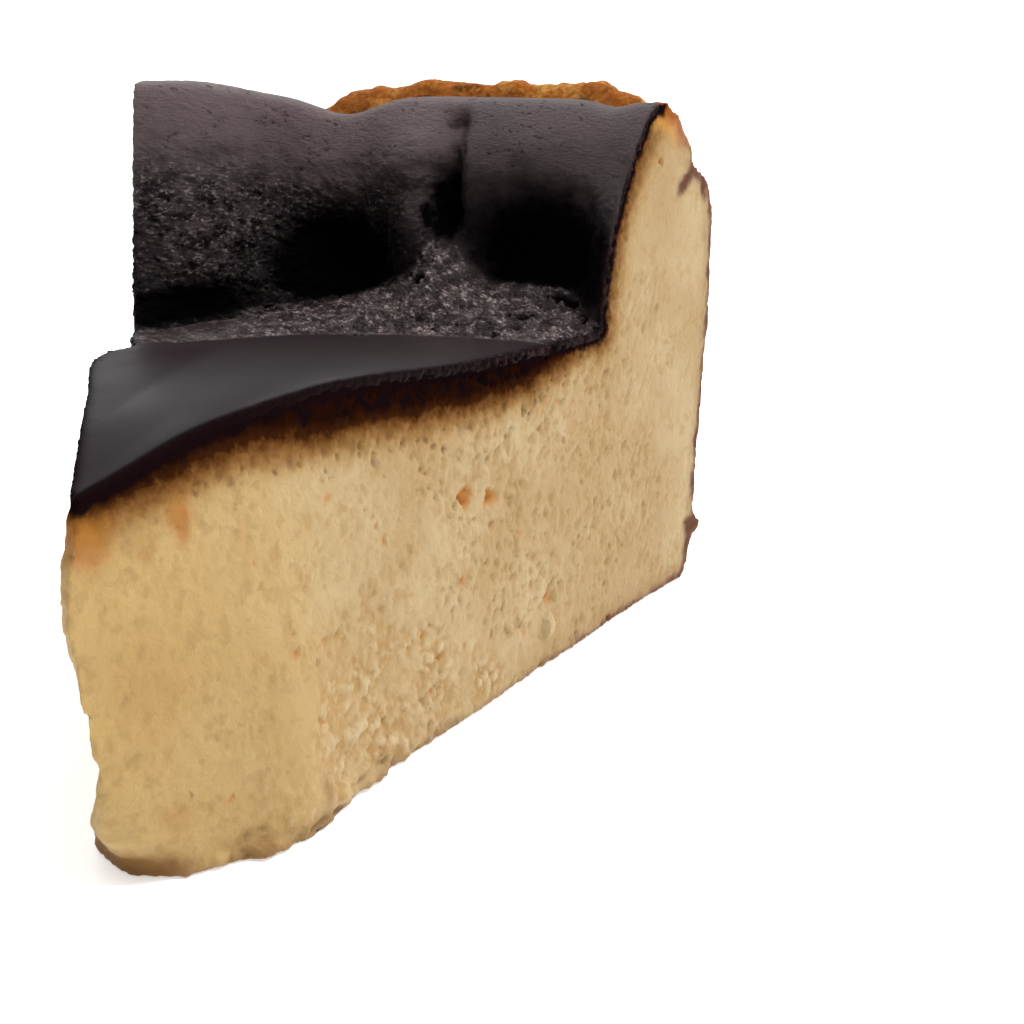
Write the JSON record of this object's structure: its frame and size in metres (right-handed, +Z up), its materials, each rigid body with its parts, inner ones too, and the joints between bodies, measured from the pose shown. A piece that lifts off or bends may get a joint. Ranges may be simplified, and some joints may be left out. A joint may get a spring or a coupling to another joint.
{
  "type": "slice of basque cheesecake",
  "caption": "Wedge of burnt basque cheesecake with level burnt top, puffed dark rim at the wide end and creamy cut sides, standing on its flat base.",
  "frame": {"origin": "centre of the bounding box at the flat base", "axes": "+Z up, +Y from the tip towards the puffed outer rim, +X to the right when looking from the tip to the rim"},
  "size_m": [0.0766, 0.0974, 0.0631],
  "materials": {
    "baked_custard": "moist crumbly cream-coloured baked custard under a thin satin near-black burnt skin, browned crust outside"
  },
  "bodies": {
    "root": {"cheesecake_slice": "baked_custard"}
  },
  "joints": []
}
